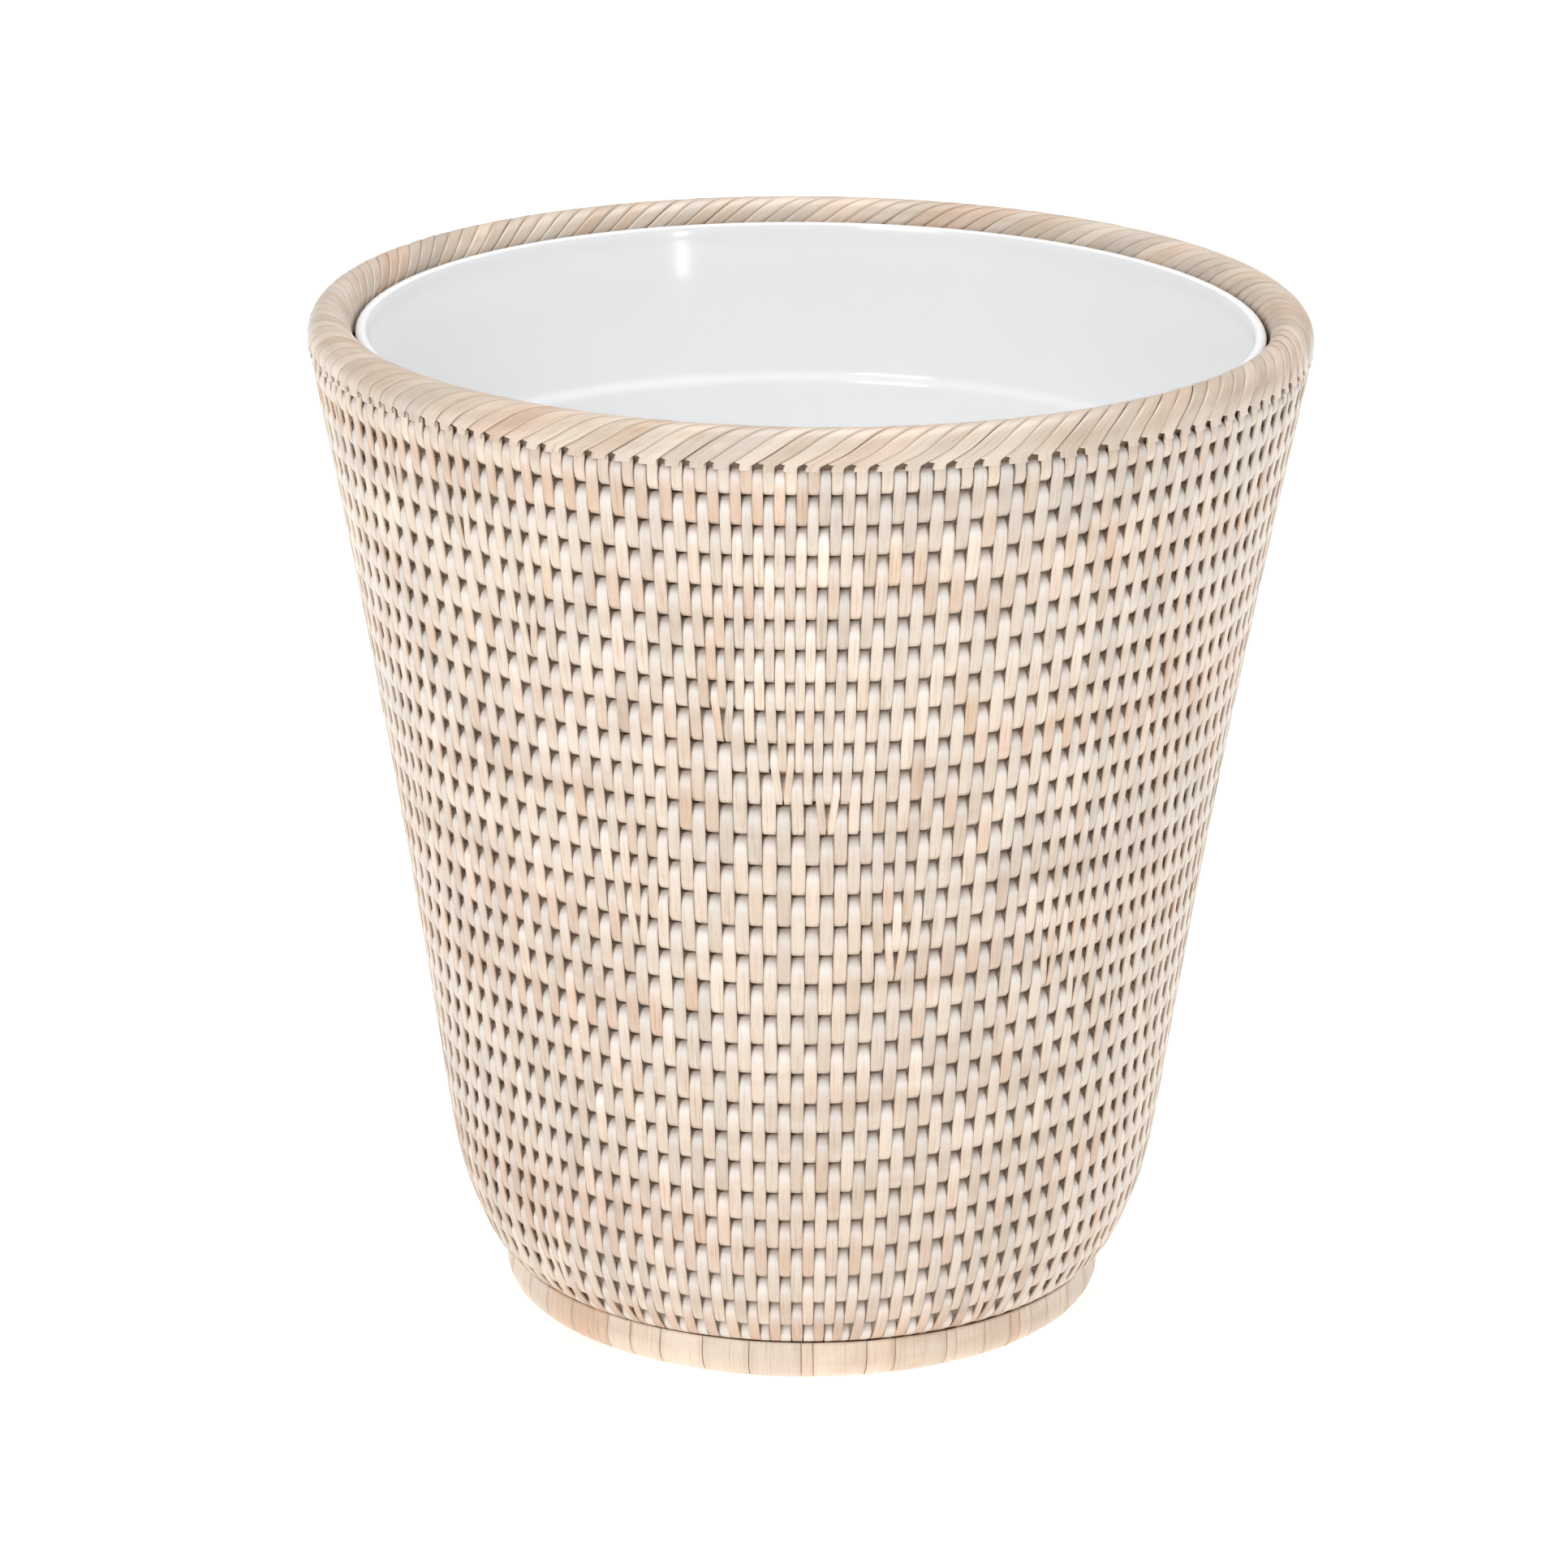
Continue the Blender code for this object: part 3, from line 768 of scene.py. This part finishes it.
def make_liner():
    """A thin moulded tub with a rounded floor edge, one step in its wall and a rolled lip."""
    low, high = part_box("liner")
    points = section_points("liner")
    floor = low.z
    lip = points[:, 0].max()
    wall, fillet = 0.0015, 0.012
    floor_thickness = 0.0020
    step_level = high.z - 0.045
    flare_height, flare_reach = 0.016, 0.0009

    def outer_at(height):
        near = points[np.abs(points[:, 1] - height) < 0.0045]
        return near[:, 0].max()

    foot_r = outer_at(floor + fillet)
    top_r = lip - 0.0008
    outside = []
    for turn in np.linspace(0, pi / 2, 12):
        outside.append((foot_r - fillet + fillet * sin(turn), floor + fillet - fillet * cos(turn)))
    rise = np.concatenate([
        np.linspace(floor + fillet, step_level - 0.003, 14)[1:],
        np.linspace(step_level - 0.003, step_level + 0.003, 9)[1:],
        np.linspace(step_level + 0.003, high.z - 0.0034, 14)[1:],
    ])
    for height in rise:
        share = (height - floor) / (high.z - floor)
        share0 = fillet / (high.z - floor)
        plain = foot_r + 0.001 + (top_r - foot_r - 0.001) * (share - share0) / (1 - share0)
        step_in = 0.001 * (1 - smooth((height - step_level + 0.0016) / 0.0032))
        flare = flare_reach * smooth((height - high.z + flare_height) / (2 * flare_height)) * 2
        outside.append((plain - step_in - flare_reach + flare, height))
    inside = [(r - wall, z) for r, z in outside[12:]]
    inner_bend = []
    for turn in np.linspace(0, pi / 2, 12):
        r = foot_r - fillet + (fillet - wall) * sin(turn)
        lift = floor + fillet - (fillet - wall) * cos(turn) + (floor_thickness - wall) * cos(turn)
        inner_bend.append((r, lift))
    inside = inner_bend + inside
    for turn in np.linspace(-pi / 2, pi / 2, 9):
        outside.append((lip - 0.0012 + 0.0012 * cos(turn), high.z - 0.0012 + 0.0012 * sin(turn)))
    last = inside[-1]
    for turn in np.linspace(pi, pi / 2, 5)[1:]:
        inside.append((last[0] + 0.0008 + 0.0008 * cos(turn), high.z - 0.0008 + 0.0008 * sin(turn)))
    centre = 0.0005
    outside = [(centre, floor), ((foot_r - fillet) / 2, floor)] + outside
    inside = [(centre, floor + floor_thickness), ((foot_r - fillet) / 2, floor + floor_thickness)] + inside
    outline = outside + inside[::-1]
    piece = lathe("liner_tub", outline, 192)
    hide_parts("liner")
    return piece


# ---------------------------------------------------------------- materials

class Graph:
    """Short names for adding shader nodes."""

    def __init__(self, name):
        self.material = bpy.data.materials.new(name)
        self.material.use_nodes = True
        self.nodes = self.material.node_tree.nodes
        self.links = self.material.node_tree.links
        self.shader = self.nodes["Principled BSDF"]

    def node(self, kind, **settings):
        made = self.nodes.new(kind)
        for key, value in settings.items():
            setattr(made, key, value)
        return made

    def attribute(self, name, output="Fac"):
        made = self.node("ShaderNodeAttribute", attribute_type="GEOMETRY", attribute_name=name)
        return made.outputs[output]

    def feed(self, socket, value):
        if isinstance(value, bpy.types.NodeSocket):
            self.links.new(value, socket)
        else:
            socket.default_value = value

    def math(self, operation, *values, clamp=False):
        made = self.node("ShaderNodeMath", operation=operation, use_clamp=clamp)
        for socket, value in zip(made.inputs, values):
            self.feed(socket, value)
        return made.outputs[0]

    def line(self, value, factor, shift, clamp=False):
        """The value times a factor, plus a shift."""
        return self.math("MULTIPLY_ADD", value, factor, shift, clamp=clamp)

    def mix(self, share, first, second, blend="MIX"):
        made = self.node("ShaderNodeMix", data_type="RGBA", blend_type=blend, clamp_factor=True)
        self.feed(made.inputs["Factor"], share)
        self.feed(made.inputs[6], first)
        self.feed(made.inputs[7], second)
        return made.outputs[2]

    def noise(self, vector, scale, detail=2.0, roughness=0.5):
        made = self.node("ShaderNodeTexNoise", noise_dimensions="3D")
        self.feed(made.inputs["Vector"], vector)
        made.inputs["Scale"].default_value = scale
        made.inputs["Detail"].default_value = detail
        made.inputs["Roughness"].default_value = roughness
        return made.outputs["Fac"]

    def stretched(self, vector, scales):
        made = self.node("ShaderNodeVectorMath", operation="MULTIPLY")
        self.feed(made.inputs[0], vector)
        made.inputs[1].default_value = scales
        return made.outputs[0]

    def ramp(self, value, stops):
        made = self.node("ShaderNodeValToRGB")
        self.feed(made.inputs["Fac"], value)
        elements = made.color_ramp.elements
        while len(elements) < len(stops):
            elements.new(0.5)
        for element, (place, colour) in zip(elements, stops):
            element.position = place
            element.color = (*colour, 1.0)
        return made.outputs["Color"]

    def bump(self, height, strength, distance):
        made = self.node("ShaderNodeBump")
        made.inputs["Strength"].default_value = strength
        made.inputs["Distance"].default_value = distance
        self.feed(made.inputs["Height"], height)
        self.links.new(made.outputs["Normal"], self.shader.inputs["Normal"])


PALE_WASH = (0.780, 0.720, 0.640, 1.0)
# White of the painted highlight on the upper bends, partly wash
HIGHLIGHT_AND_WASH_WHITE = (0.89, 0.88, 0.87, 1.0)
TAN = (0.620, 0.425, 0.280, 1.0)
STAIN = (0.50, 0.355, 0.26, 1.0)
WORN_EDGE = (0.56, 0.42, 0.29, 1.0)


def strip_material(name, grain_share):
    """Whitewashed flat rattan: streaks along the strip, tinted strands, tan runs, stains, worn
    edges, and a painted highlight on the upper bends, which face the light, partly wash left there."""
    graph = Graph(name)
    fibre = graph.attribute("fibre", "Vector")
    tint = graph.attribute("tint")
    tone = graph.attribute("tone")
    edge = graph.attribute("edge")
    streak = graph.noise(graph.stretched(fibre, (1900.0, 55.0, 13.0)), 1.0, 3.0, 0.6)
    fine = graph.noise(graph.stretched(fibre, (5200.0, 240.0, 29.0)), 1.0, 2.0, 0.5)
    patch = graph.noise(graph.stretched(fibre, (260.0, 120.0, 47.0)), 1.0, 2.0, 0.5)
    colour = graph.ramp(graph.line(tint, 0.17, 0.5), [
        (0.0, (0.570, 0.495, 0.425)), (0.35, (0.685, 0.590, 0.495)), (0.60, (0.710, 0.605, 0.495)),
        (0.74, (0.675, 0.520, 0.420)), (0.88, (0.625, 0.445, 0.320)), (1.0, (0.550, 0.370, 0.250)),
    ])
    washed = graph.line(patch, 0.88, -0.34, clamp=True)
    colour = graph.mix(washed, colour, PALE_WASH)
    run = graph.noise(graph.stretched(fibre, (0.0, 9.0, 53.0)), 1.0, 2.0, 0.6)
    colour = graph.mix(graph.line(run, 4.0, -2.16, clamp=True), colour, TAN)
    grain = graph.ramp(streak, [
        (0.30, (0.72, 0.60, 0.48)), (0.46, (0.97, 0.95, 0.93)), (0.7, (1.0, 1.0, 1.0)),
    ])
    colour = graph.mix(grain_share, colour, grain, "MULTIPLY")
    hair = graph.ramp(fine, [(0.28, (0.62, 0.48, 0.36)), (0.40, (1.0, 1.0, 1.0))])
    colour = graph.mix(grain_share * 0.6, colour, hair, "MULTIPLY")
    place = graph.node("ShaderNodeTexCoord").outputs["Object"]
    stain = graph.noise(graph.stretched(place, (16.0, 16.0, 75.0)), 1.0, 3.0, 0.6)
    colour = graph.mix(graph.line(stain, 2.4, -1.2, clamp=True), colour, STAIN)
    rubbed = graph.math("MULTIPLY", graph.math("POWER", edge, 6.0), 0.14)
    colour = graph.mix(rubbed, colour, WORN_EDGE)
    # Painted highlight: the upper bends are drawn whiter where they face the light, partly wash left there
    crown_highlight_and_wash = graph.math("MULTIPLY", graph.attribute("crown_highlight_and_wash"), 0.62)
    inner_part = graph.math("SUBTRACT", 1.0, graph.math("POWER", edge, 4.0))
    colour = graph.mix(graph.math("MULTIPLY", crown_highlight_and_wash, inner_part), colour, HIGHLIGHT_AND_WASH_WHITE)
    bright = graph.line(tone, 0.05, 1.0)
    scaled = graph.node("ShaderNodeVectorMath", operation="SCALE")
    graph.links.new(colour, scaled.inputs[0])
    graph.links.new(bright, scaled.inputs["Scale"])
    graph.links.new(scaled.outputs[0], graph.shader.inputs["Base Color"])
    rough = graph.line(streak, -0.25, 0.56)
    graph.shader.inputs["Coat Weight"].default_value = 0.35
    graph.shader.inputs["Coat Roughness"].default_value = 0.28
    graph.links.new(rough, graph.shader.inputs["Roughness"])
    relief = graph.math("ADD", streak, graph.math("MULTIPLY", fine, 0.5))
    graph.bump(relief, 0.5, 0.00008)
    return graph.material


def rod_material():
    graph = Graph("rattan rod")
    fibre = graph.attribute("fibre", "Vector")
    streak = graph.noise(graph.stretched(fibre, (1500.0, 40.0, 1500.0)), 1.0, 2.0, 0.5)
    colour = graph.ramp(streak, [
        (0.3, (0.70, 0.59, 0.49)), (0.55, (0.82, 0.74, 0.65)), (0.8, (0.86, 0.79, 0.71)),
    ])
    graph.links.new(colour, graph.shader.inputs["Base Color"])
    graph.shader.inputs["Roughness"].default_value = 0.75
    graph.bump(streak, 0.5, 0.0001)
    return graph.material


def hoop_material():
    graph = Graph("rattan hoop")
    place = graph.node("ShaderNodeTexCoord").outputs["Object"]
    grain = graph.noise(place, 900.0, 2.0, 0.5)
    colour = graph.ramp(grain, [(0.3, (0.14, 0.10, 0.07)), (0.7, (0.24, 0.18, 0.12))])
    graph.links.new(colour, graph.shader.inputs["Base Color"])
    graph.shader.inputs["Roughness"].default_value = 0.8
    return graph.material


LINER_OUTSIDE = (0.740, 0.745, 0.750, 1.0)


def liner_material():
    """Moulded plastic, glossy inside and matt outside, with faint handling marks."""
    graph = Graph("liner plastic")
    where = graph.node("ShaderNodeTexCoord")
    place = where.outputs["Object"]
    facing = graph.node("ShaderNodeVectorMath", operation="DOT_PRODUCT")
    graph.links.new(graph.stretched(place, (1.0, 1.0, 0.0)), facing.inputs[0])
    graph.links.new(where.outputs["Normal"], facing.inputs[1])
    outside = graph.math("MULTIPLY", facing.outputs["Value"], 40.0, clamp=True)
    cloud = graph.noise(place, 18.0, 3.0, 0.5)
    marks = graph.noise(graph.stretched(place, (1.0, 1.0, 0.25)), 900.0, 2.0, 0.5)
    colour = graph.ramp(cloud, [(0.3, (0.935, 0.94, 0.945)), (0.7, (0.955, 0.96, 0.965))])
    colour = graph.mix(outside, colour, LINER_OUTSIDE)
    graph.links.new(colour, graph.shader.inputs["Base Color"])
    rough = graph.line(outside, 0.30, graph.line(marks, 0.08, 0.08))
    graph.links.new(rough, graph.shader.inputs["Roughness"])
    graph.bump(cloud, 0.25, 0.0006)
    return graph.material


# ---------------------------------------------------------------- build

strips = strip_material("rattan strips", 0.75)
binding = strip_material("rattan binding", 0.60)
rod_look = rod_material()
hoop_look = hoop_material()
plastic = liner_material()


def dress(piece, look, body):
    piece.data.materials.append(look)
    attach(piece, body)


rods = make_rod()
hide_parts("base_core", *[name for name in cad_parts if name.startswith("wall_core_")])
dress(rods, rod_look, "basket")
for piece in make_weave():
    dress(piece, strips, "basket")
for name, side, seed in (("rim_uprights_outer", 1, SEED_RIM + 1), ("rim_uprights_inner", -1, SEED_RIM + 2)):
    uprights = make_uprights(name, side, seed)
    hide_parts("rim_wrap")
    dress(uprights, binding, "basket")
rim_bands = make_rim_bands()
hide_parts("rim_wrap")
dress(rim_bands, binding, "basket")
dress(make_foot_wrap(), binding, "basket")
rim_ring = oval(RIM_CENTRE, RIM_LEVEL, RIM_HALF_WIDTH - HOOP_INSET, RIM_HALF_HEIGHT - HOOP_INSET)
rim_hoop = lathe("rim_hoop", rim_ring, HOOP_STEPS)
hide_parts("rim_core")
dress(rim_hoop, hoop_look, "basket")
foot_middle = BASE_BOTTOM / 2
foot_ring = oval(FOOT_CENTRE, foot_middle + 0.0002, FOOT_HALF - 0.0014, foot_middle - HOOP_INSET)
foot_hoop = lathe("foot_hoop", foot_ring, HOOP_STEPS)
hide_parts("foot_core")
dress(foot_hoop, hoop_look, "basket")
dress(make_liner(), plastic, "liner")


# ---------------------------------------------------------------- floor, camera and light

def make_floor():
    hole, reach, top, bottom = 0.0005, 40.0, -0.0002, -0.02
    floor = lathe("floor", [(hole, top), (reach, top), (reach, bottom), (hole, bottom)], 96)
    graph = Graph("pale floor")
    shader = graph.shader
    shader.inputs["Base Color"].default_value = (0.93, 0.93, 0.93, 1.0)
    shader.inputs["Roughness"].default_value = 0.9
    shader.inputs["Emission Color"].default_value = (1.0, 1.0, 1.0, 1.0)
    shader.inputs["Emission Strength"].default_value = 0.66
    floor.data.materials.append(graph.material)


def make_camera():
    elevation, distance = radians(18.196), 1.8325
    camera = bpy.data.cameras.new("camera")
    camera.sensor_width = 36.0
    camera.lens = 147.01
    camera.shift_x = -0.01429
    camera.shift_y = 0.00811
    holder = bpy.data.objects.new("camera", camera)
    bpy.context.scene.collection.objects.link(holder)
    target = Vector((0.0, 0.0, cad_high[2] / 2))
    forward = Vector((0.0, cos(elevation), -sin(elevation)))
    turn = Matrix.Rotation(pi / 2 - elevation, 4, "X") @ Matrix.Rotation(radians(0.553), 4, "Z")
    holder.matrix_world = Matrix.Translation(target - forward * distance) @ turn
    bpy.context.scene.camera = holder


# Name, place, the point it faces, size and power
LIGHTS = (
    ("key", (-0.95, -2.05, 1.4), (0.0, 0.0, 0.12), (0.9, 0.9), 14.5),
    ("low front", (-0.5, -2.2, 0.24), (0.0, 0.0, 0.10), (1.2, 0.3), 5.0),
    ("front top", (-0.1, -1.0, 1.8), (0.0, 0.0, 0.15), (0.7, 0.5), 2.5),
    ("top", (0.2, 0.3, 2.2), (0.0, 0.0, 0.2), (1.4, 1.4), 30.0),
    ("strip", (0.95, -1.3, 0.55), (0.0, 0.0, 0.25), (0.10, 0.4), 0.9),
)
WORLD_STRENGTH = 0.40


def make_light():
    world = bpy.data.worlds.new("studio")
    bpy.context.scene.world = world
    world.use_nodes = True
    shade = world.node_tree.nodes["Background"]
    shade.inputs["Color"].default_value = (1.0, 1.0, 1.0, 1.0)
    shade.inputs["Strength"].default_value = WORLD_STRENGTH
    for name, place, target, size, power in LIGHTS:
        light = bpy.data.lights.new(name, "AREA")
        light.shape = "RECTANGLE"
        light.size, light.size_y = size
        light.energy = power
        holder = bpy.data.objects.new(name, light)
        bpy.context.scene.collection.objects.link(holder)
        holder.location = place
        away = Vector(target) - Vector(place)
        holder.rotation_euler = away.to_track_quat("-Z", "Y").to_euler()
    bpy.context.scene.view_settings.view_transform = "Standard"


make_floor()
make_camera()
make_light()
